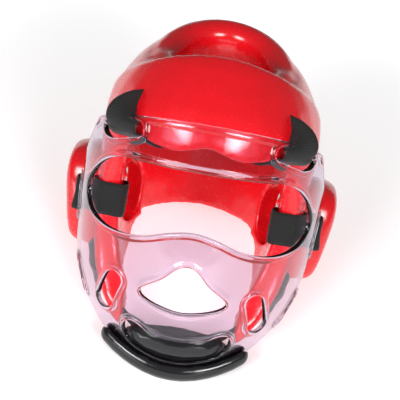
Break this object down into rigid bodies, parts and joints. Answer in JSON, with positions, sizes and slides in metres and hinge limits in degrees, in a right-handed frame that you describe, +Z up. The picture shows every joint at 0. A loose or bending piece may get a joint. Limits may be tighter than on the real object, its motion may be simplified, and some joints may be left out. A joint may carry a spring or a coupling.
{
  "type": "martial arts headgear with face shield",
  "caption": "Red dipped-foam sparring head guard with open crown ring, ear cups, clear wraparound face shield, black chin bumper, chin cup and webbing straps",
  "frame": {"origin": "on the surface under the middle of the box of the whole headgear as it rests", "axes": "+Z up, the face looks along -Y and up by the 25 degrees that the guard leans back, +X to the wearer's left"},
  "size_m": [0.254, 0.2874, 0.2416],
  "materials": {
    "dipped_foam": "glossy dipped vinyl skin over foam",
    "clear_shield": "clear polished polycarbonate",
    "black_foam": "glossy dipped vinyl skin over foam",
    "webbing": "matt woven elastic webbing"
  },
  "bodies": {
    "root": {"head_guard": "dipped_foam", "face_shield": "clear_shield", "chin_bumper": "black_foam", "chin_cup": "black_foam", "chin_strap": "webbing", "brow_strap_left": "webbing", "brow_strap_right": "webbing", "side_strap_left": "webbing", "side_strap_right": "webbing"}
  },
  "joints": []
}
